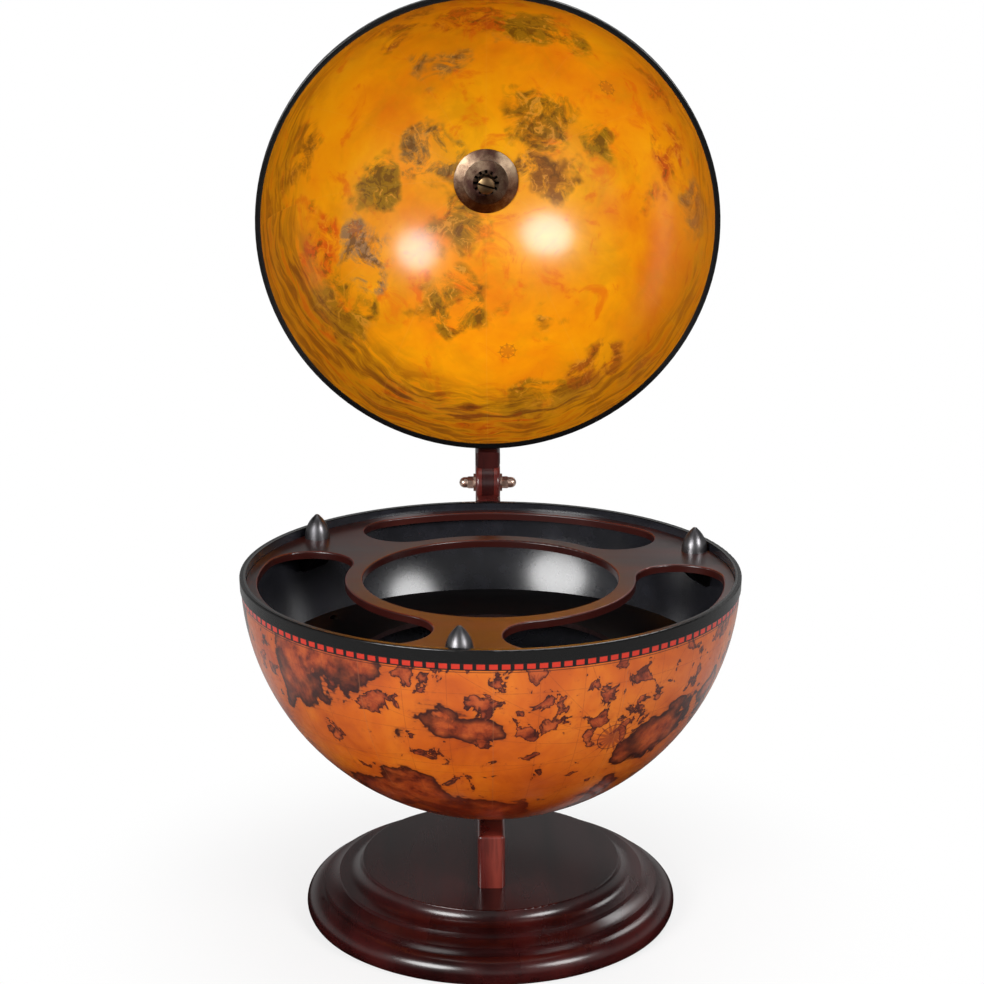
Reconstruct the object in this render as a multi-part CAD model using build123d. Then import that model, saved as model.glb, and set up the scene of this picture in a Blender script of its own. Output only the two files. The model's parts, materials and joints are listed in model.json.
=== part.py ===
from build123d import *

import os
from math import asin, atan2, cos, degrees, pi, radians, sin, sqrt

# Tabletop globe bar, in millimetres.  The origin is the centre of the felt under the base, on
# the globe's polar axis; +Z is up and +Y points at the hinge.  A turned base carries a C-shaped
# arm in two halves.  The bowl spins on the lower half's pole bolt, the dome on the upper
# half's, and the upper half hinges on the lower one.  The lid, which is the upper arm and the
# dome, is drawn shut and then swung open about the hinge bolt, where it rests on its stop.
# Profiles are drawn as (radius, height) or, for the arm, as (y, z) about the globe's centre.

# ---- Driving dimensions -----------------------------------------------------------------

# globe
GLOBE_R = 165.0          # outside radius of both hemispheres
SHELL_WALL = 3.4         # wall of a hemisphere
RIM_GAP = 0.4            # between the two rims when the lid is shut
BAND_H = 8.3             # black hoop let into the outside of each rim
BAND_T = 2.4
BAND_PROUD = 0.6         # how far a hoop stands out of the globe
BAND_EDGE_R = 0.9        # rounded outer corner of a hoop

# base, mouldings given from the outside in and from the top down
BASE_R = 125.7
BASE_TOP = 35.6          # top of the base above the table
FELT_T = 1.0
FELT_INSET = 3.5
ROUND_R = 10.3           # bottom half round, cut off flat at the felt
ROUND_Z = 7.0            # its widest line above the table
LIP_W = 2.0              # from the crest of the round in to the lip
LIP_H = 4.0
LEDGE_W = 10.0           # ledge that falls from the fillet to the lip
LEDGE_DISH = 0.6         # how far the ledge sags between them
FILLET_H = 3.0           # square fillet under the cove
FILLET_W = 6.1
COVE_W = 9.5             # hollow round the top
COVE_H = 8.2
ARRIS_R = 0.8            # rounded edge of the top

# arm, both halves cut from one thickness of board
ARM_T = 18.0
ARM_W = 39.6             # across the board, radially
POLE_GAP = 3.3           # between the globe and the arm
FOOT_CUT = 2.4           # flat planed off the arm where it stands on the base
FOOT_FRONT = 53.8        # how far the foot reaches in front of the axis
TAIL_ANGLE = 13.0        # how far the upper arm runs past the north pole
TAIL_ROUND = 12.0
ARM_EDGE_R = 2.4         # rounded edges along both faces
FOOT_CORNER_R = 2.0
HEEL_R = 40.0            # where the foot's flat runs into the arm's curve

# hinge
OPEN_ANGLE = 85.9        # swing of the lid
PIN_UP = 6.5             # hinge bolt above the bowl's rim
KNUCKLE_R = 14.1
KNUCKLE_GAP = 0.5        # round the knuckle, and between the shut arms
TONGUE_ROOT = 1.0        # how far the tongue runs on past the knuckle's clearance
STOP_GAP = 0.3           # left between the two stop faces when the lid lies open
TONGUE_T = 8.4
TONGUE_GAP = 0.2         # clearance on each side of the tongue
HINGE_BOLT_R = 2.5
BUSH_T = 1.25
HINGE_WASHER_R = 6.5
HINGE_WASHER_T = 1.6
CAP_NUT_AF = 8.0         # across flats
CAP_NUT_HEX_H = 4.6
CAP_NUT_H = 10.4
CAP_NUT_BORE = 7.0       # depth of its blind thread
CAP_NUT_BEVEL_W = 0.4    # corners turned off at the seat
CAP_NUT_BEVEL_H = 0.5
CAP_NUT_SHOULDER = 1.0   # and under the dome

# pole bolts, the same at both poles
POLE_BOLT_R = 3.0
POLE_HOLE_R = 8.0
BOSS_R = 25.1
BOSS_EDGE = 1.5
BOSS_STEP_R = 17.4
BOSS_STEP_Z = 4.2        # face height beside the step, above the rim of the boss
BOSS_STEP_H = 1.5
BOSS_SEAT_R = 10.4
BOSS_SEAT_Z = 7.0
STAR_TIP_R = 7.4         # toothed opening in the boss, to the tips and to the roots
STAR_ROOT_R = 9.9
STAR_TEETH = 12
STAR_NOTCH_W = 2.1
STAR_DEPTH = 3.2
LOCK_GAP = 0.5           # lock washer in the toothed opening
LOCK_T = 1.0
LOCK_TEETH = 10
LOCK_NOTCH_W = 1.6
LOCK_NOTCH_D = 1.1
SLEEVE_R = 6.1
SLEEVE_H = 10.4
BOLT_HEAD_R = 6.5
BOLT_HEAD_H = 4.4
BOLT_CROWN_H = 1.2
SLOT_W = 1.5
SLOT_D = 1.8
SLOT_TURN = -17.0
SPACER_R = 11.0
INSERT_R = 5.0
INSERT_L = 22.0
BOLT_IN_INSERT = 18.0

# tray, shelf and what holds them, with the front peg's direction seen from above
BOWL_TURN = -97.7
SPOKES = 3
TRAY_DROP = 5.7          # tray top below the rim
TRAY_T = 5.2
TRAY_RIM_W = 7.6         # from the bowl's wall in to a glass opening
OPENING_W = 57.6         # across a glass opening
RING_W = 11.6            # wood between the glass openings and the bottle well
SPOKE_W = 44.0           # narrowest wood between two glass openings
TRAY_EDGE_R = 1.0
SHELF_DROP = 62.1        # shelf top below the rim
SHELF_T = 3.6
SHELF_W = 59.2           # from the bowl's wall in to the hole in the middle
CLEAT_W = 22.0
CLEAT_H = 18.0
CLEAT_DEPTH = 15.5       # from the bowl's wall in, at its top
CLEAT_TOE = 4.0          # and at its foot
PEG_INSET = 9.6          # middle of a peg from the bowl's wall
PEG_R = 8.8
PEG_H = 16.8
PEG_FOOT = 0.9
PEG_TIP_R = 2.1
PEG_TIP_H = 1.2
PEG_BELLY = 1.6          # bulge of its side
STUD_R = 2.5
STUD_IN_CLEAT = 10.0
SHELF_SCREW_INSET = 11.5 # from the bowl's wall at the shelf
SHELF_SCREW_R = 1.7
SHELF_SCREW_HEAD_R = 3.6
SHELF_SCREW_HEAD_H = 2.2
SHELF_SCREW_IN = 11.0

# foot screws, driven up through the base
FOOT_SCREW_AT = (-32.0, 24.0)
FOOT_SCREW_R = 3.0
FOOT_SCREW_HEAD_R = 5.6
FOOT_SCREW_HEAD_H = 3.0
FOOT_SINK = 9.0
FOOT_SCREW_IN_ARM = 24.0

# clearances
FIT = 0.05               # screwed, glued or pressed pieces
RUN = 0.06               # turning on a shaft
WALL_FIT = 0.3           # tray and shelf in the bowl
TURN_GAP = 0.3           # between turning faces

# ---- Worked out -------------------------------------------------------------------------

INNER_R = GLOBE_R - SHELL_WALL
BAND_IN_R = GLOBE_R + BAND_PROUD - BAND_T
ARM_IN_R = GLOBE_R + POLE_GAP
ARM_OUT_R = ARM_IN_R + ARM_W
GLOBE_Z = BASE_TOP + ARM_OUT_R - FOOT_CUT      # bowl's rim, and the globe's centre
DOME_Z = GLOBE_Z + RIM_GAP
PIN_Y = sqrt(ARM_OUT_R**2 - PIN_UP**2) - KNUCKLE_R
PIN = Vector(0, PIN_Y, GLOBE_Z + PIN_UP)
BUSH_R = HINGE_BOLT_R + RUN + BUSH_T
BOSS_RIM_Z = sqrt((INNER_R - FIT)**2 - BOSS_R**2)     # boss rim from the globe's centre
SLIT_Z = RIM_GAP / 2                           # middle of the cut between the arm halves
BOSS_TOP_Z = -BOSS_RIM_Z + BOSS_SEAT_Z
LOCK_Z = BOSS_TOP_Z - STAR_DEPTH + TURN_GAP
SLEEVE_Z = LOCK_Z + LOCK_T
HEAD_Z = SLEEVE_Z + SLEEVE_H
NUT_SEAT = ARM_T / 2 + HINGE_WASHER_T          # cap nut's seat from the middle of the arm
TRAY_Z = -TRAY_DROP
SHELF_Z = -SHELF_DROP
OPENING_MID_R = INNER_R - TRAY_RIM_W - OPENING_W / 2
WELL_R = OPENING_MID_R - OPENING_W / 2 - RING_W
PEG_AT = INNER_R - PEG_INSET
SHELF_WALL_R = sqrt(INNER_R**2 - SHELF_Z**2)   # bowl's wall beside the shelf
SHELF_HOLE_R = SHELF_WALL_R - SHELF_W
SHELF_SCREW_AT = SHELF_WALL_R - SHELF_SCREW_INSET


# ---- Drawing helpers --------------------------------------------------------------------

def arc(start, end, centre):
    """The shorter arc from start to end about centre."""
    radius = sqrt((start[0] - centre[0]) ** 2 + (start[1] - centre[1]) ** 2)
    a = atan2(start[1] - centre[1], start[0] - centre[0])
    b = atan2(end[1] - centre[1], end[0] - centre[0])
    middle = atan2(sin(a) + sin(b), cos(a) + cos(b))
    on_arc = (centre[0] + radius * cos(middle), centre[1] + radius * sin(middle))
    return ThreePointArc(start, on_arc, end)


def crown(radius, low, height):
    """Arc from (radius, low) up to the axis, with its centre on the axis."""
    centre = low + (height**2 - radius**2) / (2 * height)
    return arc((radius, low), (0, low + height), (0, centre))


def turned(*lines):
    """Turn a closed (radius, height) outline about Z."""
    return revolve(Plane.XZ * make_face(lines), Axis.Z)


def ring(outer, inner, low, high):
    """A washer-shaped solid on the Z axis."""
    return turned(Polyline((inner, low), (outer, low), (outer, high), (inner, high), close=True))


def below_centre(radius, out):
    """Height, below a sphere's centre, of the point on it that is `out` from the axis."""
    return -sqrt(radius**2 - out**2)


def board(face, thickness):
    """A (y, z) outline cut from a board that lies across X."""
    return extrude(Plane.YZ * face, thickness / 2, both=True)


def polar(radius, angle, rise=0):
    """A (y, z) point at an angle from +Y, with its centre raised by rise."""
    return (radius * cos(radians(angle)), rise + radius * sin(radians(angle)))


def disc(radius, centre=(0, 0)):
    return Pos(*centre) * Circle(radius)


def sector(start, end, reach):
    """A wedge of the (y, z) plane about the hinge bolt, under 180 degrees wide."""
    edge_reach = reach / cos(radians(end - start) / 4)
    rays = [polar(edge_reach, angle) for angle in (start, (start + end) / 2, end)]
    wedge = make_face(Polyline((0, 0), *rays, close=True))
    return Pos(PIN_Y, PIN_UP) * wedge


# ---- Base -------------------------------------------------------------------------------

def base_disc():
    round_in = BASE_R - ROUND_R
    lip_r = round_in - LIP_W
    fillet_r = lip_r - LEDGE_W
    cove_out = fillet_r - FILLET_W
    top_r = cove_out - COVE_W
    bottom = FELT_T
    foot_r = round_in + sqrt(ROUND_R**2 - (ROUND_Z - bottom) ** 2)
    round_top = ROUND_Z + ROUND_R
    lip_z = round_top + LIP_H
    cove_top = BASE_TOP - ARRIS_R
    cove_foot = cove_top - COVE_H
    ledge_z = cove_foot - FILLET_H
    ledge_mid = ((fillet_r + lip_r) / 2, (ledge_z + lip_z) / 2 - LEDGE_DISH)
    slant = sqrt(0.5)
    cove_mid = (cove_out - COVE_W * slant, cove_top - COVE_H * slant)
    arris = (top_r - ARRIS_R, cove_top)
    body = turned(
        Polyline((0, BASE_TOP), (0, bottom), (foot_r, bottom)),
        ThreePointArc((foot_r, bottom), (BASE_R, ROUND_Z), (round_in, round_top)),
        Polyline((round_in, round_top), (lip_r, round_top), (lip_r, lip_z)),
        ThreePointArc((lip_r, lip_z), ledge_mid, (fillet_r, ledge_z)),
        Polyline((fillet_r, ledge_z), (fillet_r, cove_foot), (cove_out, cove_foot)),
        ThreePointArc((cove_out, cove_foot), cove_mid, (top_r, cove_top)),
        arc((top_r, cove_top), (top_r - ARRIS_R, BASE_TOP), arris),
        Line((top_r - ARRIS_R, BASE_TOP), (0, BASE_TOP)),
    )
    for y in FOOT_SCREW_AT:
        body -= Pos(0, y, bottom) * ring(FOOT_SCREW_HEAD_R + TURN_GAP, 0, 0, FOOT_SINK)
        body -= Pos(0, y, 0) * ring(FOOT_SCREW_R + FIT, 0, bottom, BASE_TOP)
    return body


def base_felt():
    return ring(BASE_R - FELT_INSET, 0, 0, FELT_T)


def foot_screws():
    low = FELT_T + FOOT_SINK - FOOT_SCREW_HEAD_H
    tip = BASE_TOP + FOOT_SCREW_IN_ARM
    screw = turned(Polyline((0, low), (FOOT_SCREW_HEAD_R, low),
                            (FOOT_SCREW_HEAD_R, low + FOOT_SCREW_HEAD_H),
                            (FOOT_SCREW_R, low + FOOT_SCREW_HEAD_H),
                            (FOOT_SCREW_R, tip - FOOT_SCREW_R), (0, tip), close=True))
    return Compound([Pos(0, y, 0) * screw for y in FOOT_SCREW_AT])


# ---- Arm --------------------------------------------------------------------------------

def rounded_board(outline):
    """A piece of the arm with the edges of both its faces rounded."""
    arm = board(outline, ARM_T)
    sides = arm.faces().sort_by(Axis.X)
    return fillet(sides[0].edges() + sides[-1].edges(), ARM_EDGE_R)


def pole_seat():
    """Cutter for an insert's hole and the flat spot faced round it for the spacer."""
    return ring(INSERT_R + FIT, 0, -INSERT_L, 0) + ring(SPACER_R + FIT, 0, 0, POLE_GAP)


def lower_arm():
    top = SLIT_Z - KNUCKLE_GAP / 2
    sole = -(ARM_OUT_R - FOOT_CUT)
    heel = sqrt(ARM_OUT_R**2 - sole**2)
    inner_top = (sqrt(ARM_IN_R**2 - top**2), top)
    outer_top = (sqrt(ARM_OUT_R**2 - top**2), top)
    outline = make_face([
        arc((0, -ARM_IN_R), inner_top, (0, 0)),
        Line(inner_top, outer_top),
        arc(outer_top, (heel, sole), (0, 0)),
        Polyline((heel, sole), (-FOOT_FRONT, sole), (-FOOT_FRONT, -ARM_IN_R), (0, -ARM_IN_R)),
    ])
    outline = fillet(outline.vertices().group_by(Axis.X)[0].sort_by(Axis.Y)[-1], FOOT_CORNER_R)
    outline = fillet(outline.vertices().group_by(Axis.Y)[0].sort_by(Axis.X)[-1], HEEL_R)
    stop = OPEN_ANGLE / 2 + degrees(STOP_GAP / 2 / KNUCKLE_R)
    outline -= sector(-stop, 90 - stop, ARM_W)
    outline += disc(KNUCKLE_R, (PIN_Y, PIN_UP))
    arm = rounded_board(outline)
    slot = disc(KNUCKLE_R + KNUCKLE_GAP, (PIN_Y, PIN_UP))
    arm -= board(slot, TONGUE_T + 2 * TONGUE_GAP)
    arm -= board(disc(HINGE_BOLT_R + FIT, (PIN_Y, PIN_UP)), 2 * ARM_T)
    arm -= Pos(0, 0, -ARM_IN_R) * pole_seat()
    for y in FOOT_SCREW_AT:
        arm -= Pos(0, y, sole) * ring(FOOT_SCREW_R + FIT, 0, 0, FOOT_SCREW_IN_ARM + FIT)
    return Pos(0, 0, GLOBE_Z) * arm


def upper_arm():
    """Drawn shut about the bowl's centre; its own arcs are about the dome's."""
    centre = (0, RIM_GAP)
    foot = SLIT_Z + KNUCKLE_GAP / 2
    rise = foot - RIM_GAP
    inner_foot = (sqrt(ARM_IN_R**2 - rise**2), foot)
    outer_foot = (sqrt(ARM_OUT_R**2 - rise**2), foot)
    inner_tail = polar(ARM_IN_R, 90 + TAIL_ANGLE, RIM_GAP)
    outer_tail = polar(ARM_OUT_R, 90 + TAIL_ANGLE, RIM_GAP)
    outline = make_face([
        arc(inner_foot, inner_tail, centre),
        Line(inner_tail, outer_tail),
        arc(outer_tail, outer_foot, centre),
        Line(outer_foot, inner_foot),
    ])
    outline = fillet(outline.vertices().sort_by(Axis.X)[:2], TAIL_ROUND)
    whole = outline
    stop = OPEN_ANGLE / 2 + degrees(STOP_GAP / 2 / KNUCKLE_R)
    outline -= disc(KNUCKLE_R + KNUCKLE_GAP, (PIN_Y, PIN_UP))
    outline -= sector(-90, 0, ARM_W)
    outline -= sector(-stop, stop, ARM_W)
    arm = rounded_board(outline)
    root = whole & disc(KNUCKLE_R + KNUCKLE_GAP + TONGUE_ROOT, (PIN_Y, PIN_UP))
    root -= sector(-90, 0, ARM_W)
    root -= sector(-stop, stop, ARM_W)
    tongue = root + disc(KNUCKLE_R, (PIN_Y, PIN_UP))
    arm += board(tongue, TONGUE_T)
    arm -= board(disc(BUSH_R + FIT, (PIN_Y, PIN_UP)), 2 * ARM_T)
    arm -= Pos(0, 0, RIM_GAP + ARM_IN_R) * Rot(180, 0, 0) * pole_seat()
    return Pos(0, 0, GLOBE_Z) * arm


# ---- Hinge hardware ---------------------------------------------------------------------

def across(solid):
    """Lay a solid drawn on the Z axis along the hinge bolt."""
    return Pos(PIN) * Rot(0, 90, 0) * solid


def hinge_bolt():
    half = NUT_SEAT + CAP_NUT_BORE - FIT
    return across(ring(HINGE_BOLT_R, 0, -half, half))


def hinge_bush():
    half = TONGUE_T / 2
    return across(ring(BUSH_R, HINGE_BOLT_R + RUN, -half, half))


def hinge_washers():
    low = ARM_T / 2
    washer = ring(HINGE_WASHER_R, HINGE_BOLT_R + FIT, low, low + HINGE_WASHER_T)
    return Compound([across(washer), across(Rot(180, 0, 0) * washer)])


def cap_nut():
    """Domed cap nut, seat at z = 0."""
    corner_r = CAP_NUT_AF / 2 / cos(radians(30))
    dome_r = CAP_NUT_AF / 2 - FIT
    straight = CAP_NUT_H - dome_r
    hexagon = extrude(RegularPolygon(corner_r, 6), CAP_NUT_HEX_H)
    hexagon &= turned(Polyline((0, 0), (corner_r - CAP_NUT_BEVEL_W, 0),
                               (corner_r, CAP_NUT_BEVEL_H),
                               (corner_r, CAP_NUT_HEX_H - CAP_NUT_SHOULDER),
                               (dome_r, CAP_NUT_HEX_H), (0, CAP_NUT_HEX_H), close=True))
    dome_foot = CAP_NUT_HEX_H - CAP_NUT_SHOULDER
    dome = turned(Polyline((0, CAP_NUT_H), (0, dome_foot), (dome_r, dome_foot),
                           (dome_r, straight)),
                  crown(dome_r, straight, dome_r))
    return hexagon + dome - ring(HINGE_BOLT_R + FIT, 0, 0, CAP_NUT_BORE)


def hinge_cap_nuts():
    nut = Pos(0, 0, NUT_SEAT) * cap_nut()
    return Compound([across(nut), across(Rot(180, 0, 0) * nut)])


# ---- Hemispheres, drawn as the bowl about its own rim centre ------------------------------

def half_shell():
    outer_pole = (POLE_HOLE_R, below_centre(GLOBE_R, POLE_HOLE_R))
    inner_pole = (POLE_HOLE_R, below_centre(INNER_R, POLE_HOLE_R))
    shoulder = (sqrt(GLOBE_R**2 - BAND_H**2), -BAND_H)
    return turned(
        Polyline((INNER_R, 0), (BAND_IN_R - FIT, 0), (BAND_IN_R - FIT, -BAND_H), shoulder),
        arc(shoulder, outer_pole, (0, 0)),
        Line(outer_pole, inner_pole),
        arc(inner_pole, (INNER_R, 0), (0, 0)),
    )


def rim_band():
    outer_r = BAND_IN_R + BAND_T
    foot_r = sqrt(GLOBE_R**2 - BAND_H**2) + BAND_PROUD
    corner = (outer_r - BAND_EDGE_R, -BAND_EDGE_R)
    return turned(
        Polyline((corner[0], 0), (BAND_IN_R, 0), (BAND_IN_R, -BAND_H), (foot_r, -BAND_H),
                 (outer_r, -BAND_EDGE_R)),
        arc((outer_r, -BAND_EDGE_R), (corner[0], 0), corner),
    )


# ---- Pole fittings, drawn about the same centre ------------------------------------------

def toothed(blank, teeth, middle, width, depth, low, high):
    """Cut notches into a blank; each is middle from the axis, width wide and depth long."""
    notch = Pos(middle, 0, (low + high) / 2) * Box(depth, width, high - low)
    for tooth in range(teeth):
        blank -= Rot(0, 0, tooth * 360 / teeth) * notch
    return blank


def boss():
    """Stepped escutcheon with a hub through the pole hole, on which the half globe turns."""
    rim = -BOSS_RIM_Z
    hub_r = POLE_HOLE_R - FIT
    hub_end = -(GLOBE_R - TURN_GAP)
    back_r = INNER_R - FIT
    step = rim + BOSS_STEP_Z
    bore = POLE_BOLT_R + RUN
    floor = BOSS_TOP_Z - STAR_DEPTH
    plate = turned(
        arc((BOSS_R, rim), (hub_r, below_centre(back_r, hub_r)), (0, 0)),
        Polyline((hub_r, below_centre(back_r, hub_r)), (hub_r, hub_end), (bore, hub_end),
                 (bore, floor), (STAR_TIP_R, floor), (STAR_TIP_R, BOSS_TOP_Z),
                 (BOSS_SEAT_R, BOSS_TOP_Z), (BOSS_STEP_R, step + BOSS_STEP_H),
                 (BOSS_STEP_R, step), (BOSS_R, rim + BOSS_EDGE), (BOSS_R, rim)),
    )
    notch_d = STAR_ROOT_R - SLEEVE_R
    return toothed(plate, STAR_TEETH, STAR_ROOT_R - notch_d / 2, STAR_NOTCH_W, notch_d,
                   floor, BOSS_TOP_Z)


def lock_washer():
    outer = STAR_TIP_R - LOCK_GAP
    top = LOCK_Z + LOCK_T
    washer = ring(outer, POLE_BOLT_R + FIT, LOCK_Z, top)
    return toothed(washer, LOCK_TEETH, outer, LOCK_NOTCH_W, 2 * LOCK_NOTCH_D, LOCK_Z, top)


def axle_sleeve():
    return ring(SLEEVE_R, POLE_BOLT_R + FIT, SLEEVE_Z, HEAD_Z)


def axle_bolt():
    """Slotted round-head bolt, its tip in the arm's threaded insert."""
    top = HEAD_Z + BOLT_HEAD_H
    side = top - BOLT_CROWN_H
    tip = -(ARM_IN_R + BOLT_IN_INSERT)
    bolt = turned(
        Polyline((0, top), (0, tip), (POLE_BOLT_R, tip), (POLE_BOLT_R, HEAD_Z),
                 (BOLT_HEAD_R, HEAD_Z), (BOLT_HEAD_R, side)),
        crown(BOLT_HEAD_R, side, BOLT_CROWN_H),
    )
    slot = Pos(0, 0, top - SLOT_D / 2) * Box(2 * BOLT_HEAD_R, SLOT_W, SLOT_D)
    return bolt - Rot(0, 0, SLOT_TURN) * slot


def pole_spacer():
    return ring(SPACER_R, POLE_BOLT_R + FIT, -ARM_IN_R, -GLOBE_R)


def axle_insert():
    return ring(INSERT_R, POLE_BOLT_R + FIT, -(ARM_IN_R + INSERT_L), -ARM_IN_R)


# ---- Inside of the bowl -------------------------------------------------------------------

def spoke_angle(number):
    return BOWL_TURN + number * 360 / SPOKES


def in_wall(solid, clearance):
    """Trim a solid to the inside of the bowl."""
    return solid & Sphere(INNER_R - clearance)


def tray():
    plate = in_wall(ring(INNER_R, WELL_R, TRAY_Z - TRAY_T, TRAY_Z), WALL_FIT)
    end_angle = degrees(asin((SPOKE_W + OPENING_W) / 2 / OPENING_MID_R))
    sweep = 360 / SPOKES - 2 * end_angle
    opening = extrude(SlotArc(CenterArc((0, 0), OPENING_MID_R, end_angle, sweep), OPENING_W),
                      TRAY_T)
    for number in range(SPOKES):
        turn = Rot(0, 0, spoke_angle(number))
        plate -= Pos(0, 0, TRAY_Z - TRAY_T) * turn * opening
        plate -= turn * Pos(PEG_AT, 0, TRAY_Z - TRAY_T) * ring(STUD_R + FIT, 0, 0, TRAY_T)
    top = plate.faces().filter_by(Plane.XY).sort_by(Axis.Z)[-1]
    stud_round = 2 * pi * (STUD_R + FIT)
    cut_edges = [wire.edges() for wire in top.inner_wires() if wire.length > 2 * stud_round]
    return fillet([edge for edges in cut_edges for edge in edges], TRAY_EDGE_R)


def guide_peg(number):
    """Bullet-shaped peg on a stud, which also fastens the tray to its cleat."""
    stud_end = -(TRAY_T + STUD_IN_CLEAT)
    nose = (PEG_TIP_R, PEG_H - PEG_TIP_H)
    peg = turned(
        Polyline((0, PEG_H), (0, stud_end), (STUD_R, stud_end), (STUD_R, 0), (PEG_R, 0),
                 (PEG_R, PEG_FOOT)),
        SagittaArc((PEG_R, PEG_FOOT), nose, -PEG_BELLY),
        crown(*nose, PEG_TIP_H),
    )
    return Rot(0, 0, spoke_angle(number)) * Pos(PEG_AT, 0, TRAY_Z) * peg


def cleat(number, seat_z, hole_at, hole_r, hole_depth):
    """Wood block glued to the wall under a board, with the hole for what fastens the board."""
    wall_top = sqrt(INNER_R**2 - seat_z**2)
    wall_low = sqrt(INNER_R**2 - (seat_z - CLEAT_H) ** 2)
    side = make_face(Polyline((wall_top - CLEAT_DEPTH, seat_z), (INNER_R, seat_z),
                              (INNER_R, seat_z - CLEAT_H), (wall_low - CLEAT_TOE, seat_z - CLEAT_H),
                              (wall_top - CLEAT_DEPTH, seat_z - CLEAT_H / 2), close=True))
    block = in_wall(extrude(Plane.XZ * side, CLEAT_W / 2, both=True), FIT)
    block -= Pos(hole_at, 0, seat_z - hole_depth) * ring(hole_r, 0, 0, hole_depth)
    return Rot(0, 0, spoke_angle(number)) * block


def tray_cleat(number):
    return cleat(number, TRAY_Z - TRAY_T, PEG_AT, STUD_R + FIT, STUD_IN_CLEAT + FIT)


def shelf_cleat(number):
    return cleat(number, SHELF_Z - SHELF_T, SHELF_SCREW_AT, SHELF_SCREW_R + FIT,
                 SHELF_SCREW_IN + FIT)


def lower_shelf():
    shelf = in_wall(ring(INNER_R, SHELF_HOLE_R, SHELF_Z - SHELF_T, SHELF_Z), WALL_FIT)
    hole = Pos(SHELF_SCREW_AT, 0, SHELF_Z - SHELF_T) * ring(SHELF_SCREW_R + FIT, 0, 0, SHELF_T)
    for number in range(SPOKES):
        shelf -= Rot(0, 0, spoke_angle(number)) * hole
    return shelf


def shelf_screws():
    tip = -(SHELF_T + SHELF_SCREW_IN)
    screw = turned(
        Polyline((0, SHELF_SCREW_HEAD_H), (0, tip), (SHELF_SCREW_R, tip + SHELF_SCREW_R),
                 (SHELF_SCREW_R, 0), (SHELF_SCREW_HEAD_R, 0)),
        crown(SHELF_SCREW_HEAD_R, 0, SHELF_SCREW_HEAD_H),
    )
    seat = Pos(SHELF_SCREW_AT, 0, SHELF_Z)
    return Compound([Rot(0, 0, spoke_angle(n)) * seat * screw for n in range(SPOKES)])


# ---- Assembly -----------------------------------------------------------------------------

PEG_NAMES = ("front", "right", "left")
IN_BOWL = Pos(0, 0, GLOBE_Z)
IN_SHUT_DOME = Pos(0, 0, DOME_Z) * Rot(180, 0, 0)
OPENED = Pos(PIN) * Rot(-OPEN_ANGLE, 0, 0) * Pos(-PIN)


def stand_nodes():
    return {
        "base_disc": base_disc(),
        "base_felt": base_felt(),
        "foot_screws": foot_screws(),
        "lower_arm": lower_arm(),
        "hinge_bolt": hinge_bolt(),
        "hinge_washers": hinge_washers(),
        "hinge_cap_nuts": hinge_cap_nuts(),
        "bowl_pole_spacer": IN_BOWL * pole_spacer(),
        "bowl_axle_insert": IN_BOWL * axle_insert(),
        "bowl_axle_bolt": IN_BOWL * axle_bolt(),
        "bowl_axle_sleeve": IN_BOWL * axle_sleeve(),
        "bowl_lock_washer": IN_BOWL * lock_washer(),
    }


def bowl_nodes():
    nodes = {
        "bowl_shell": IN_BOWL * half_shell(),
        "bowl_rim_band": IN_BOWL * rim_band(),
        "bowl_boss": IN_BOWL * boss(),
        "tray": IN_BOWL * tray(),
        "lower_shelf": IN_BOWL * lower_shelf(),
        "shelf_screws": IN_BOWL * shelf_screws(),
    }
    for number, name in enumerate(PEG_NAMES):
        nodes[f"guide_peg_{name}"] = IN_BOWL * guide_peg(number)
        nodes[f"tray_cleat_{name}"] = IN_BOWL * tray_cleat(number)
        nodes[f"shelf_cleat_{name}"] = IN_BOWL * shelf_cleat(number)
    return nodes


def lid_nodes():
    shut = {
        "upper_arm": upper_arm(),
        "hinge_bush": hinge_bush(),
        "dome_pole_spacer": IN_SHUT_DOME * pole_spacer(),
        "dome_axle_insert": IN_SHUT_DOME * axle_insert(),
        "dome_axle_bolt": IN_SHUT_DOME * axle_bolt(),
        "dome_axle_sleeve": IN_SHUT_DOME * axle_sleeve(),
        "dome_lock_washer": IN_SHUT_DOME * lock_washer(),
        "dome_shell": IN_SHUT_DOME * half_shell(),
        "dome_rim_band": IN_SHUT_DOME * rim_band(),
        "dome_boss": IN_SHUT_DOME * boss(),
    }
    return {name: OPENED * solid for name, solid in shut.items()}


def main():
    os.makedirs("parts", exist_ok=True)
    for name, solid in {**stand_nodes(), **bowl_nodes(), **lid_nodes()}.items():
        export_step(solid, f"parts/{name}.step")


main()
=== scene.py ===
import json
from math import cos, pi, radians, sin

import bpy
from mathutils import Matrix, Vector


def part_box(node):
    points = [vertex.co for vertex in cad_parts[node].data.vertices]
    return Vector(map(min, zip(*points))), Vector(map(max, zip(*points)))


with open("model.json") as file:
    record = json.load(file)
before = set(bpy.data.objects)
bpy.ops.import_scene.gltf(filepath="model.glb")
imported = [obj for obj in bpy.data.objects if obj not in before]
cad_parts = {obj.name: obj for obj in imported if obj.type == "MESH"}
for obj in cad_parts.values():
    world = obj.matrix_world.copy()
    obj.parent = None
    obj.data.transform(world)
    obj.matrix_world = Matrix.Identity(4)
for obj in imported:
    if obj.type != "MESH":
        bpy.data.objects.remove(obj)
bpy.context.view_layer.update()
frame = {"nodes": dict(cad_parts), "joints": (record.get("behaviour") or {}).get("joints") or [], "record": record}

# ---- Sizes read from the frame, in metres ------------------------------------------------------

nodes = frame["nodes"]
joints = {joint["name"]: joint for joint in frame["joints"]}

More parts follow.
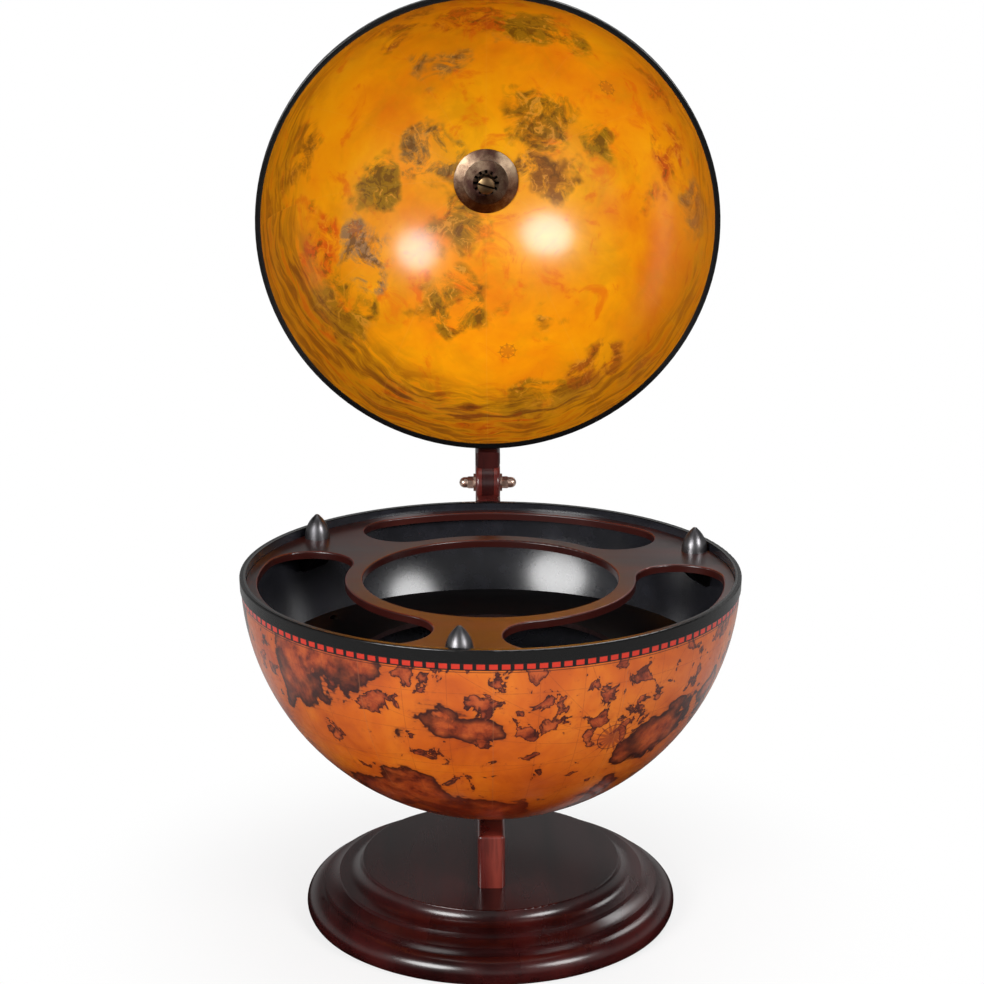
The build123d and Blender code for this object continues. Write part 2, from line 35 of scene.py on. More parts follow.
RIGHT = Vector((1, 0, 0))
UP = Vector((0, 0, 1))
BOWL_CENTRE = Vector(joints["bowl_spin"]["pos_m"])
BOWL_AXIS = Vector(joints["bowl_spin"]["axis"])
DOME_CENTRE = Vector(joints["dome_spin"]["pos_m"])
DOME_AXIS = Vector(joints["dome_spin"]["axis"])
GLOBE_R = (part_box("bowl_shell")[1].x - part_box("bowl_shell")[0].x) / 2
BAND_H = BOWL_CENTRE.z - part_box("bowl_rim_band")[0].z       # from the equator to the band's far edge
RIM_DROP = BOWL_CENTRE.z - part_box("bowl_shell")[1].z        # from the equator to the shell's rim
BOSS_FACE = BOWL_CENTRE.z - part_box("bowl_boss")[1].z        # from the globe's centre to the boss's face

# ---- Camera, floor and light -------------------------------------------------------------------

CAMERA_SENSOR = 36
CAMERA_LENS = 85.94
CAMERA_DISTANCE = 1.4864                   # from the globe's axis, along the floor
CAMERA_HEIGHT = 0.7029
CAMERA_TURN = 0.6                          # degrees to the left of straight in front
CAMERA_DOWN = 15.40
CAMERA_ASIDE = 0.037                       # degrees by which the axis stands left of the middle

WHITE = (1, 1, 1, 1)
WORLD_LIGHT = 0.26                         # strength of the white world as a light
WORLD_SHINE_LOW, WORLD_SHINE_HIGH = 0.32, 0.03    # and in a reflection, low and overhead
WORLD_SHINE_UP = (0.24, 0.50)              # it fades between these, the sines of 14 and 30 degrees up

FLOOR_SIDE = 12
FLOOR_COLOUR = (0.85, 0.85, 0.85, 1)
FLOOR_SHADE = 0.25                         # how much of the object's shadow the camera sees
SHADOW_FADES = (0.12, 0.32)                # radii on the floor between which that shadow fades out

# strength of the floor in a reflection, a product of steps: from one radius to another, and from
# one strength to another
FLOOR_SHINE = [(0.26, 0.42, 0.12, 0.38), (0.15, 0.28, 0.05, 1), (0.6, 1.3, 1, 0.2)]

# each soft box: degrees to the right of the camera's side, degrees up, distance, size, watts
SOFT_BOXES = {"box_right": (43.6, 22.0, 1.7, (0.68, 0.62), 14.5),
              "box_left": (-36.0, 14.5, 1.7, (0.88, 0.66), 21.5),
              "box_back": (158.0, 46.0, 1.9, (1.20, 1.20), 15)}
TOP_BOX = ((0, 0.1, 2.2), (1.6, 1.6), 5)   # place, size, watts


def linear(red, green, blue):
    """A colour given as 0 to 255 screen values, as the shader wants it."""
    def channel(value):
        value /= 255
        return value / 12.92 if value <= 0.04045 else ((value + 0.055) / 1.055) ** 2.4
    return (channel(red), channel(green), channel(blue), 1)


def add_camera():
    data = bpy.data.cameras.new("camera")
    data.sensor_width = CAMERA_SENSOR
    data.lens = CAMERA_LENS
    camera = bpy.data.objects.new("camera", data)
    bpy.context.scene.collection.objects.link(camera)
    turn = radians(CAMERA_TURN)
    camera.location = (-CAMERA_DISTANCE * sin(turn), -CAMERA_DISTANCE * cos(turn), CAMERA_HEIGHT)
    camera.rotation_euler = (radians(90 - CAMERA_DOWN), 0, -turn - radians(CAMERA_ASIDE))
    bpy.context.scene.camera = camera


def add_light(name, place, aim, size, power):
    data = bpy.data.lights.new(name, "AREA")
    data.shape = "ELLIPSE"
    data.size, data.size_y = size
    data.energy = power
    light = bpy.data.objects.new(name, data)
    bpy.context.scene.collection.objects.link(light)
    light.location = place
    light.rotation_euler = (Vector(aim) - Vector(place)).to_track_quat("-Z", "Y").to_euler()


def add_lights():
    middle = (BOWL_CENTRE + DOME_CENTRE) / 2
    for name, (side, up, distance, size, power) in SOFT_BOXES.items():
        side, up = radians(side), radians(up)
        way = Vector((sin(side) * cos(up), -cos(side) * cos(up), sin(up)))
        add_light(name, middle + way * distance, middle, size, power)
    place, size, power = TOP_BOX
    add_light("box_top", place, middle, size, power)


# ---- Node building blocks ----------------------------------------------------------------------

class Nodes:
    """Short ways to add nodes to a tree and to wire them."""

    def __init__(self, tree):
        self.tree = tree

    def plug(self, socket, value):
        """Link a socket's value if it comes from another node, and write it otherwise."""
        if isinstance(value, bpy.types.NodeSocket):
            self.tree.links.new(value, socket)
        else:
            socket.default_value = value

    def node(self, kind, values=(), **settings):
        made = self.tree.nodes.new(kind)
        for name, value in settings.items():
            setattr(made, name, value)
        for index, value in enumerate(values):
            self.plug(made.inputs[index], value)
        return made

    def coordinates(self, kind):
        return self.node("ShaderNodeTexCoord").outputs[kind]

    def split(self, vector):
        return self.node("ShaderNodeSeparateXYZ", [vector]).outputs

    def maths(self, operation, *values):
        return self.node("ShaderNodeMath", values, operation=operation).outputs[0]

    def times(self, *masks):
        """The product of several masks."""
        product = masks[0]
        for mask in masks[1:]:
            product = self.maths("MULTIPLY", product, mask)
        return product

    def remap(self, value, low, high, new_low=0.0, new_high=1.0, smooth=False):
        """Map a value from one range to another, clamped."""
        made = self.node("ShaderNodeMapRange", [value, low, high, new_low, new_high])
        made.interpolation_type = "SMOOTHSTEP" if smooth else "LINEAR"
        return made.outputs[0]

    def rays(self):
        """Masks of the rays from the camera, and of those from a shiny or a clear surface."""
        path = self.node("ShaderNodeLightPath").outputs
        shiny = self.maths("MAXIMUM", path["Is Glossy Ray"], path["Is Transmission Ray"])
        return path["Is Camera Ray"], shiny


class Shader(Nodes):
    """A material with one Principled surface."""

    def __init__(self, name, **sockets):
        self.material = bpy.data.materials.new(name)
        self.material.use_nodes = True
        super().__init__(self.material.node_tree)
        self.surface = self.tree.nodes["Principled BSDF"]
        self.set(**sockets)

    def set(self, **sockets):
        """Plug values into the surface's sockets, each named with _ for a space."""
        for name, value in sockets.items():
            self.plug(self.surface.inputs[name.replace("_", " ")], value)

    def place(self):
        return self.coordinates("Object")

    def facing(self):
        """The way the surface faces, in the object's own frame."""
        return self.coordinates("Normal")

    def vector(self, operation, *values):
        made = self.node("ShaderNodeVectorMath", values, operation=operation)
        return made.outputs["Value" if operation in ("DOT_PRODUCT", "LENGTH") else "Vector"]

    def from_point(self, point):
        """The way from a point to the place that is shaded, in the object's own frame."""
        return self.vector("SUBTRACT", self.place(), tuple(point))

    def join(self, x, y, z):
        return self.node("ShaderNodeCombineXYZ", [x, y, z]).outputs[0]

    def moved(self, vector, location=(0, 0, 0), rotation=(0, 0, 0), scale=(1, 1, 1)):
        return self.node("ShaderNodeMapping", [vector, location, rotation, scale]).outputs[0]

    def texture(self, kind, vector, **values):
        """A texture node with its inputs set by name."""
        made = self.node(kind)
        self.plug(made.inputs["Vector"], vector)
        for name, value in values.items():
            made.inputs[name].default_value = value
        return made

    def noise(self, vector, scale, detail=2.0, roughness=0.5, distortion=0.0):
        made = self.texture("ShaderNodeTexNoise", vector, Scale=scale, Detail=detail,
                            Roughness=roughness, Distortion=distortion)
        return made.outputs["Fac"]

    def warped(self, vector, scale, amount):
        """The vector pushed about by a soft noise."""
        push = self.texture("ShaderNodeTexNoise", vector, Scale=scale, Detail=4.0).outputs["Color"]
        push = self.vector("SUBTRACT", push, (0.5, 0.5, 0.5))
        return self.vector("MULTIPLY_ADD", push, (amount, amount, amount), vector)

    def ramp(self, value, stops):
        made = self.node("ShaderNodeValToRGB", [value])
        elements = made.color_ramp.elements
        while len(elements) < len(stops):
            elements.new(0.5)
        for element, (at, colour) in zip(elements, stops):
            element.position = at
            element.color = colour
        return made.outputs[0]

    def mix(self, share, first, second):
        """Two colours mixed, with a share of 0 to 1 of the second."""
        made = self.node("ShaderNodeMix", data_type="RGBA")
        for index, value in ((0, share), (6, first), (7, second)):
            self.plug(made.inputs[index], value)
        return made.outputs[2]

    def bump(self, height, strength, distance):
        made = self.node("ShaderNodeBump")
        for name, value in (("Strength", strength), ("Distance", distance), ("Height", height)):
            self.plug(made.inputs[name], value)
        self.set(Normal=made.outputs[0])

    def near(self, value, target, width):
        """1 where value is within width of target, fading out over half as much again."""
        away = self.maths("ABSOLUTE", self.maths("SUBTRACT", value, target))
        return self.remap(away, width * 1.5, width, smooth=True)

    def off_whole(self, value):
        """How far a value is from the nearest whole number."""
        return self.maths("ABSOLUTE", self.maths("SUBTRACT", value, self.maths("ROUND", value)))


# ---- Wood --------------------------------------------------------------------------------------

ALONG_X, ALONG_Y, ALONG_Z = (0.1, 1, 1), (1, 0.1, 1), (1, 1, 0.1)    # scales that stretch the grain

# each noise of the wood: scale, detail, roughness, distortion
WANDER = (7, 3, 0.5)
RINGS = (34, 4, 0.5, 0.4)
PORES = (420, 2, 0.5)
RINGS_SHARE, WANDER_SHARE = 0.7, 0.35      # in the figure of the wood
STAIN_AT = (0.36, 0.54, 0.72)              # values of the figure at which the three stains stand
PORE_DARK, PORE_DEEP = 0.35, 0.3           # share of the dark stain in a pore, and its depth
WOOD_BUMP = (0.015, 0.0002)                # strength and distance

# dark, middle and light stain
MAHOGANY = linear(22, 4, 4), linear(48, 9, 9), linear(70, 16, 14)
# the lower arm's stains are a lighter, lit copy of the upper arm's: painted light
LIT_LOWER_ARM_MAHOGANY = linear(34, 10, 8), linear(88, 28, 23), linear(134, 54, 42)
UPPER_ARM_MAHOGANY = linear(18, 5, 5), linear(46, 13, 12), linear(72, 23, 19)
TRAY_MAHOGANY = linear(28, 8, 6), linear(58, 19, 12), linear(86, 30, 18)
SHELF_BLACK = linear(6, 5, 5), linear(14, 10, 10), linear(22, 16, 15)
BLOCK_BLACK = linear(7, 5, 5), linear(14, 10, 9), linear(24, 17, 14)

# cut edges, and painted highlights on the rounded corners; the black shelf's grey cut edges are a painted
# highlight too
TRAY_EDGES_AND_HIGHLIGHTS = linear(56, 14, 10), linear(124, 34, 20)
SHELF_EDGE_HIGHLIGHTS = linear(56, 40, 40), linear(84, 64, 64)


def edges_and_highlights(shader, colour, edges, rings, pores):
    """The upright edges in the first colour, and a painted highlight on the rounded corners beside them in the
    second.
    """
    level = shader.maths("ABSOLUTE", shader.split(shader.facing())[2])
    # the upright edges' colour, which on the black shelf is a painted highlight
    cut = shader.times(shader.remap(level, 0.75, 0.35), shader.remap(pores, 0.3, 0.7, 0.35, 0.8))
    # painted highlight: the rounded corners lighter where they would catch the light
    wear_and_highlight = shader.times(shader.near(level, 0.86, 0.08), shader.remap(rings, 0.3, 0.6, 0.25, 0.8))
    return shader.mix(wear_and_highlight, shader.mix(cut, colour, edges[0]), edges[1])


def wood(name, stains, along, roughness, coat=0.0, shine=0.5, edges=None):
    """Stained, lacquered wood; `along` stretches the grain, and `edges` colours its upright edges and paints
    highlights on its rounded corners.
    """
    shader = Shader(name, Coat_Weight=coat, Coat_Roughness=roughness * 0.8, Specular_IOR_Level=shine)
    stretched = shader.moved(shader.place(), scale=along)
    rings = shader.noise(stretched, *RINGS)
    pores = shader.noise(stretched, *PORES)
    wander = shader.maths("MULTIPLY", shader.noise(stretched, *WANDER), WANDER_SHARE)
    figure = shader.maths("ADD", shader.maths("MULTIPLY", rings, RINGS_SHARE), wander)
    pore = shader.remap(pores, 0.56, 0.70)
    colour = shader.ramp(figure, list(zip(STAIN_AT, stains)))
    colour = shader.mix(shader.times(pore, PORE_DARK), colour, stains[0])
    if edges:
        colour = edges_and_highlights(shader, colour, edges, rings, pores)
    shader.set(Base_Color=colour,
               Roughness=shader.remap(rings, 0.3, 0.7, roughness * 0.85, roughness * 1.2))
    shader.bump(shader.maths("SUBTRACT", rings, shader.times(pore, PORE_DEEP)), *WOOD_BUMP)
    return shader.material


# ---- Metals and plastics -----------------------------------------------------------------------

STAINS = (90, 4, 0.6)                      # noises: scale, detail, roughness
SCRATCHES = (810, 2, 0.5)
SCRATCH_BUMP = (0.03, 0.0002)
BRONZE = linear(132, 110, 78), linear(84, 62, 46)
BRONZE_ROUGHNESS = 0.36
SLOT_SHADE = linear(20, 13, 10)             # painted shade in a pole bolt's slot
SLOT_HALF_W = 0.0006
SLOT_TURN = radians(-17)


def metal(name, colour, shade, roughness, slot=None):
    """Metal with faint stains and scratches; `slot` is a point in a slot darkened with painted shade, and the way
    across it.
    """
    shader = Shader(name, Metallic=1.0)
    place = shader.place()
    stain = shader.noise(place, *STAINS)
    scratch = shader.noise(shader.moved(place, scale=(1, 1, 9)), *SCRATCHES)
    shown = shader.mix(shader.remap(stain, 0.35, 0.7), colour, shade)
    if slot:
        point, across = slot
        off = shader.vector("DOT_PRODUCT", shader.from_point(point), tuple(across))
        # painted shade: dark along the middle of the bolt's slot
        shown = shader.mix(shader.near(off, 0.0, SLOT_HALF_W), shown, SLOT_SHADE)
    stained = shader.remap(stain, 0.3, 0.7, roughness * 0.7, roughness * 1.3)
    scratched = shader.remap(scratch, 0.4, 0.7, 0, roughness * 0.3)
    shader.set(Base_Color=shown, Roughness=shader.maths("ADD", stained, scratched))
    shader.bump(scratch, *SCRATCH_BUMP)
    return shader.material


def pole_bolt(name, centre, inward):
    """The bronze of a pole bolt, whose head faces the globe's centre."""
    across = inward.cross(RIGHT) * cos(SLOT_TURN) - RIGHT * sin(SLOT_TURN)
    return metal(name, *BRONZE, BRONZE_ROUGHNESS, slot=(centre, across))


GROOVE_PITCH = 0.0006
GROOVE_SHARE = 0.09                        # in the tone of the bronze
GROOVE_BUMP = (0.10, 0.0001)
TARNISH = (55, 5, 0.65)
TURNED_TONES = [(0.34, linear(56, 34, 33)), (0.50, linear(98, 75, 61)), (0.66, linear(156, 136, 112))]
RECESS_R = 0.0106                          # painted shade in the opening round the bolt
RECESS_SHADE = linear(14, 10, 8)


def turned_bronze(name, centre, axis):
    """Antique bronze with the fine grooves of the lathe about the given axis, and painted shade in the opening
    round the bolt.
    """
    shader = Shader(name, Metallic=1.0, Anisotropic=0.75)
    from_centre = shader.from_point(centre)
    turned_way = shader.vector("CROSS_PRODUCT", from_centre, tuple(axis))
    out = shader.vector("LENGTH", turned_way)
    along = shader.maths("ABSOLUTE", shader.vector("DOT_PRODUCT", from_centre, tuple(axis)))
    groove = shader.maths("SINE", shader.maths("MULTIPLY", out, 2 * pi / GROOVE_PITCH))
    tarnish = shader.noise(from_centre, *TARNISH)
    tone = shader.maths("ADD", shader.maths("MULTIPLY", groove, GROOVE_SHARE), tarnish)
    # painted shade: black in the opening round the bolt, below the boss's face
    shaded_recess = shader.times(shader.remap(along, BOSS_FACE + 0.0004, BOSS_FACE + 0.0010),
                          shader.remap(out, RECESS_R + 0.0004, RECESS_R))
    shader.set(Base_Color=shader.mix(shaded_recess, shader.ramp(tone, TURNED_TONES), RECESS_SHADE),
               Roughness=shader.remap(tarnish, 0.3, 0.7, 0.42, 0.28),
               Tangent=shader.vector("NORMALIZE", turned_way))
    shader.bump(groove, *GROOVE_BUMP)
    return shader.material


SPECK_BUMP = (0.01, 0.0001)


def plastic(name, colour, roughness, shine=0.5, speck=400):
    """A moulded, painted or felted surface with a fine unevenness of the given scale."""
    shader = Shader(name, Specular_IOR_Level=shine)
    fine = shader.noise(shader.place(), speck, 3, 0.6)
    paler = [channel * 1.8 for channel in colour[:3]] + [1]
    shader.set(Base_Color=shader.mix(shader.remap(fine, 0.3, 0.8, 0, 0.35), colour, paler),
               Roughness=shader.remap(fine, 0.3, 0.7, roughness * 0.8, roughness * 1.2))
    shader.bump(fine, *SPECK_BUMP)
    return shader.material


# ---- Printed half globes -----------------------------------------------------------------------

BOWL_SEED = (11.3, 6.2, 1.4)               # of the noises that lay out each print
DOME_SEED = (14.4, 7.7, 1.3)
SHELL_MIDDLE_R = GLOBE_R - 0.0017          # between the printed outside and the inside
PRINT_COAT = 0.92                          # varnish over the paper
PRINT_COAT_ROUGHNESS = 0.19
PRINT_SHINE = 0.15
LACQUER_COAT = 1.0
LACQUER_ROUGHNESS = 0.22
SKY_ROUGHNESS = 0.34
LACQUER_BLACK = linear(27, 27, 31), linear(40, 40, 46)
RIM_BLACK = linear(9, 8, 8)
RIM_FROM, RIM_TO = RIM_DROP + 0.0009, RIM_DROP + 0.0006    # heights at which the black rim starts
SEAM_BUMP = (0.08, 0.0003)

GORES = 12                                 # strips of paper round the globe
SEAM_FROM, SEAM_TO = 0.0030, 0.0014        # a seam's pale line, as shares of the radius
NET_LINES = 36                             # meridians round the globe
NET_W = 0.0016                             # half width of a printed line, as a share of the radius
BORDER_H = 0.0047                          # border of dashes next to each band
BORDER_DASHES = 136
DASH_HALF_H = 0.0013
RULE_AT, RULE_HALF_W = 0.0012, 0.00025     # thin line beyond the border
CHART_ROSE = (16, 0.085)                   # points, and the star's size as a share of the radius
SKY_ROSE = (8, 0.05)
BOWL_ROSES = [(0.45, -0.80, -0.42), (-0.9, 0.1, -0.35)]
DOME_ROSES = [(0.6, -0.5, 0.55), (-0.2, 0.85, 0.45)]
DOME_STARS = [(0.55, -0.50, 0.66), (-0.62, 0.18, 0.76), (0.10, 0.75, 0.65)]

# each noise of the chart: shift of its seed, scale, detail, roughness, distortion
CONTINENTS = (0, 2.5, 5, 0.50, 0.2)
ISLETS = (3.7, 11.0, 4, 0.55, 0.4)
CROWDS = (8.1, 2.2, 2, 0.5)                # of islets
BLOTCHES = (1.3, 3.2, 4, 0.6, 0.4)
MOTTLE = (2.9, 13, 6, 0.65)
INK_WEAR = (4.4, 70, 4, 0.7)
FOXING = (5.9, 26, 5, 0.7)
CONTINENT_LEVEL, ISLET_LEVEL = 0.560, 0.580     # values of the noises at the shore
SHORE_STROKES = 48                         # for each radian of latitude

BURNT, INK = linear(44, 15, 11), linear(78, 30, 18)
SHORE, SHALLOWS, ROSE_RED = linear(46, 17, 11), linear(140, 52, 16), linear(120, 40, 18)
DASH_BLACK, DASH_RED = linear(14, 7, 7), linear(186, 38, 14)
SEAM_PALE, FOX_BROWN, POLE_BROWN_AND_SHADE = linear(214, 140, 84), linear(104, 40, 16), linear(126, 36, 8)
SEA = [(0.30, linear(160, 62, 5)), (0.50, linear(188, 86, 6)), (0.70, linear(204, 108, 12))]
SOIL = [(0.34, linear(84, 26, 12)), (0.46, linear(142, 54, 18)), (0.60, linear(172, 76, 26))]

# each noise of the sky, in the same way
PATCHES = (7.3, 1.7, 5, 0.6, 0.3)
WASH = (6.2, 3.1, 5, 0.62, 0.6)
BLUSH = (3.3, 4.4, 6, 0.66, 0.9)
RAGGED = (9.0, 6, 6, 0.64, 0.8)            # edges of the motifs
STROKE_BENDS = (1.9, 3.0, 2)
MOTIF_SCALE = 2.3
STROKES_AT = radians(140)                  # longitude where the dome's rim strokes are thickest

OLIVE, CORAL, RIM_SHADE = linear(206, 140, 8), linear(226, 92, 10), linear(134, 60, 6)
MOTIF_LIGHT, MOTIF_DARK = linear(246, 176, 60), linear(60, 38, 16)
STAR_BROWN, STAR_RING, SKY_SEAM = linear(170, 84, 20), linear(120, 72, 22), linear(244, 190, 100)
AMBER = [(0.30, linear(228, 126, 6)), (0.47, linear(242, 156, 2)), (0.66, linear(250, 178, 4))]
MOTIF_HUES = [(0.12, linear(138, 110, 14)), (0.30, linear(122, 72, 20)), (0.45, linear(222, 78, 12)),
              (0.62, linear(186, 62, 18)), (0.76, linear(104, 84, 24)), (0.92, linear(132, 112, 86))]
STROKE_HUES = [(0.40, linear(212, 158, 8)), (0.50, linear(164, 118, 10)),
               (0.58, linear(104, 62, 14)), (0.70, linear(48, 28, 14))]


class Globe(Shader):
    """Half a globe: where a point lies in its own frame, pole up, and what is drawn there."""

    def __init__(self, name, centre, tilt, seed):
        super().__init__(name, Coat_Roughness=PRINT_COAT_ROUGHNESS, Specular_IOR_Level=PRINT_SHINE)
        self.seed = seed
        self.spot = self.moved(self.from_point(centre), rotation=(tilt, 0, 0))
        self.unit = self.vector("NORMALIZE", self.spot)
        x, y, z = self.split(self.spot)
        self.height = self.maths("ABSOLUTE", z)
        self.longitude = self.maths("ARCTAN2", y, x)
        self.latitude = self.maths("ARCSINE", self.split(self.unit)[2])
        self.gore_across = self.across_meridians(GORES)

    def across_meridians(self, count):
        """Distance from the nearest of so many meridians, as a share of the radius."""
        off = self.off_whole(self.maths("MULTIPLY", self.longitude, count / (2 * pi)))
        return self.times(off, 2 * pi / count, self.maths("COSINE", self.latitude))

    def seeded(self, shift):
        return self.moved(self.unit, location=[value + shift for value in self.seed])

    def field(self, shift, *look):
        """A noise of its own layout over the globe."""
        return self.noise(self.seeded(shift), *look)

    def drawn(self, share, colour, over):
        """The colour laid over another by a share of 0 to 1."""
        return self.mix(share, over, colour)

    def seams(self, share, colour, over):
        """Faint lines in the given colour along the edges of the gores."""
        return self.drawn(self.remap(self.gore_across, SEAM_FROM, SEAM_TO, 0, share), colour, over)

    def rose(self, centre, points, star_r):
        """Masks of a wind rose: the lines that leave it, its star and its circle."""
        centre = Vector(centre).normalized()
        east = centre.cross(UP).normalized()
        x = self.vector("DOT_PRODUCT", self.unit, tuple(east))
        y = self.vector("DOT_PRODUCT", self.unit, tuple(east.cross(centre)))
        front = self.remap(self.vector("DOT_PRODUCT", self.unit, tuple(centre)), 0.0, 0.1)
        away = self.vector("LENGTH", self.join(x, y, 0.0))
        off = self.off_whole(self.maths("MULTIPLY", self.maths("ARCTAN2", y, x), points / (2 * pi)))
        # off is a share of the gap between two points, so a width in it grows with their number
        lines = self.remap(self.times(off, away), NET_W * points / 5, NET_W * points / 12)
        star = self.maths("LESS_THAN", away, self.remap(off, 0.0, 0.5, star_r, star_r * 0.35))
        circle = self.near(away, star_r * 0.72, NET_W)
        return [self.times(mask, front) for mask in (lines, star, circle)]

    # -- the chart outside --

    def land(self):
        """How far inland a point is: above 0 on continents, and on islets that crowd near the rim."""
        sparse = self.maths("ADD", self.remap(self.field(*CROWDS), 0.36, 0.50, -0.08, 0.0),
                            self.remap(self.height, 0.025, 0.10, 0.050, -0.06))
        islets = self.maths("ADD", self.field(*ISLETS), sparse)
        return self.maths("MAXIMUM", self.maths("SUBTRACT", self.field(*CONTINENTS), CONTINENT_LEVEL),
                          self.maths("SUBTRACT", islets, ISLET_LEVEL))

    def chart(self):
        """Sea, and land with a burnt shore."""
        inland = self.land()
        sea, soil = self.ramp(self.field(*BLOTCHES), SEA), self.ramp(self.field(*MOTTLE), SOIL)
        soil = self.drawn(self.remap(inland, 0.080, 0.006, 0, 0.90, smooth=True), BURNT, soil)
        colour = self.mix(self.remap(inland, -0.004, 0.003), sea, soil)
        colour = self.drawn(self.times(self.near(inland, 0.006, 0.007), 0.45), SHORE, colour)
        return self.off_shore(inland, colour)

    def off_shore(self, inland, colour):
        """Darker shallows, with engraved strokes in them."""
        shallow = self.remap(inland, -0.05, -0.002, 0, 0.30, smooth=True)
        colour = self.drawn(self.times(shallow, self.remap(inland, 0.0, -0.002)), SHALLOWS, colour)
        stroke = self.off_whole(self.maths("MULTIPLY", self.latitude, SHORE_STROKES))
        reach = self.times(self.remap(inland, -0.018, -0.004), self.remap(inland, 0.0, -0.003))
        return self.drawn(self.times(self.remap(stroke, 0.20, 0.10), reach, 0.5), BURNT, colour)

    def net(self):
        """Meridians and parallels."""
        turn = self.maths("MULTIPLY", self.latitude, NET_LINES / (2 * pi))
        parallel = self.times(self.off_whole(turn), 2 * pi / NET_LINES)
        return self.maths("MAXIMUM", *[self.remap(across, NET_W * 1.3, NET_W * 0.7)
                                       for across in (self.across_meridians(NET_LINES), parallel)])

    def aged(self, colour):
        """Seams between the gores, brown spots, and a browner print towards the pole that is partly painted shade.
        """
        colour = self.seams(0.10, SEAM_PALE, colour)
        colour = self.drawn(self.remap(self.field(*FOXING), 0.58, 0.75, 0, 0.3), FOX_BROWN, colour)
        # partly painted shade: the print darker and browner towards the pole
        pole_shade = self.remap(self.height, 0.085, 0.160, 0.0, 0.72, smooth=True)
        return self.drawn(pole_shade, POLE_BROWN_AND_SHADE, colour)

    def border(self, colour):
        """The dashes and the thin line next to the band."""
        dash = self.off_whole(self.maths("MULTIPLY", self.longitude, BORDER_DASHES / (2 * pi)))
        red = self.times(self.remap(dash, 0.36, 0.32),
                         self.near(self.height, BAND_H + BORDER_H / 2, DASH_HALF_H))
        end = BAND_H + BORDER_H
        rule = self.times(self.near(self.height, end + RULE_AT, RULE_HALF_W), 0.7)
        colour = self.drawn(rule, BURNT, colour)
        return self.drawn(self.remap(self.height, end + 0.0002, end),
                          self.mix(red, DASH_BLACK, DASH_RED), colour)

    def outside(self, roses):
        """The whole chart, with wind roses in the given directions."""
        colour, lines = self.chart(), self.net()
        for centre in roses:
            rays, star, circle = self.rose(centre, *CHART_ROSE)
            lines = self.maths("MAXIMUM", lines, rays)
            colour = self.drawn(self.times(star, 0.6), ROSE_RED, colour)
            colour = self.drawn(self.times(circle, 0.8), BURNT, colour)
        wear_and_highlight = self.remap(self.field(*INK_WEAR), 0.35, 0.6, 0.10, 0.36)
        return self.border(self.aged(self.drawn(self.times(lines, wear_and_highlight), INK, colour)))

    # -- the two insides --

    def lacquer(self):
        """Black lacquer with a faint haze."""
        haze = self.noise(self.spot, 60, 4, 0.6)
        return self.mix(self.remap(haze, 0.3, 0.7), *LACQUER_BLACK)

    def sky(self, stars):
        """Amber sky with painted motifs and small stars, streaked towards the rim and darker there with painted
        shade.
        """
        colour = self.ramp(self.field(*PATCHES), AMBER)
        colour = self.drawn(self.remap(self.field(*WASH), 0.50, 0.66, 0, 0.45), OLIVE, colour)
        blush = self.remap(self.field(*BLUSH), 0.54, 0.66, 0, 0.60, smooth=True)
        colour = self.motifs(self.drawn(blush, CORAL, colour))
        # painted shade: the sky darker towards the rim
        shade = self.remap(self.height, 0.108, 0.0, 0, 0.88, smooth=True)
        colour = self.rim_strokes(self.drawn(shade, RIM_SHADE, colour))
        for centre in stars:
            _, star, circle = self.rose(centre, *SKY_ROSE)
            colour = self.drawn(self.times(star, 0.45), STAR_BROWN, colour)
            colour = self.drawn(self.times(circle, 0.40), STAR_RING, colour)
        return self.seams(0.06, SKY_SEAM, colour)

    def motifs(self, colour):
        """Separate brushed motifs, each of one hue, with lights and curling dark strokes in them."""
        cells = self.texture("ShaderNodeTexVoronoi", self.warped(self.seeded(0.6), 4.2, 0.50),
                             Scale=MOTIF_SCALE)
        curl = self.noise(self.warped(self.seeded(2.4), 6.0, 0.30), 8.0, 4, 0.60, 2.2)
        painted = self.ramp(self.split(cells.outputs["Color"])[0], MOTIF_HUES)
        painted = self.drawn(self.remap(curl, 0.44, 0.36, 0, 0.55), MOTIF_LIGHT, painted)
        painted = self.drawn(self.remap(curl, 0.52, 0.60, 0, 0.75), MOTIF_DARK, painted)
        inside = self.remap(cells.outputs["Distance"], 0.50, 0.34, smooth=True)
        ragged = self.remap(self.field(*RAGGED), 0.40, 0.52)
        return self.drawn(self.times(inside, ragged, 0.88), painted, colour)

    def rim_strokes(self, colour):
        """Olive and dark strokes that follow the rim, thickest on one side."""
        bend = self.remap(self.field(*STROKE_BENDS), 0.3, 0.7, -0.05, 0.05)
        bent = self.maths("MULTIPLY", self.maths("ADD", self.latitude, bend), 11.0)
        along = self.join(self.maths("MULTIPLY", self.longitude, 2.0), bent, 0.0)
        strokes = self.noise(along, 1.7, 5, 0.60, 0.5)
        side = self.maths("COSINE", self.maths("SUBTRACT", self.longitude, STROKES_AT))
        reach = self.remap(side, -0.2, 0.95, 0.056, 0.100)
        low = self.remap(self.maths("DIVIDE", self.height, reach), 1.0, 0.6, smooth=True)
        thick = self.remap(side, -0.4, 0.7, 0.58, 0.76)
        share = self.times(low, self.remap(strokes, 0.40, 0.48), thick)
        return self.drawn(share, self.ramp(strokes, STROKE_HUES), colour)

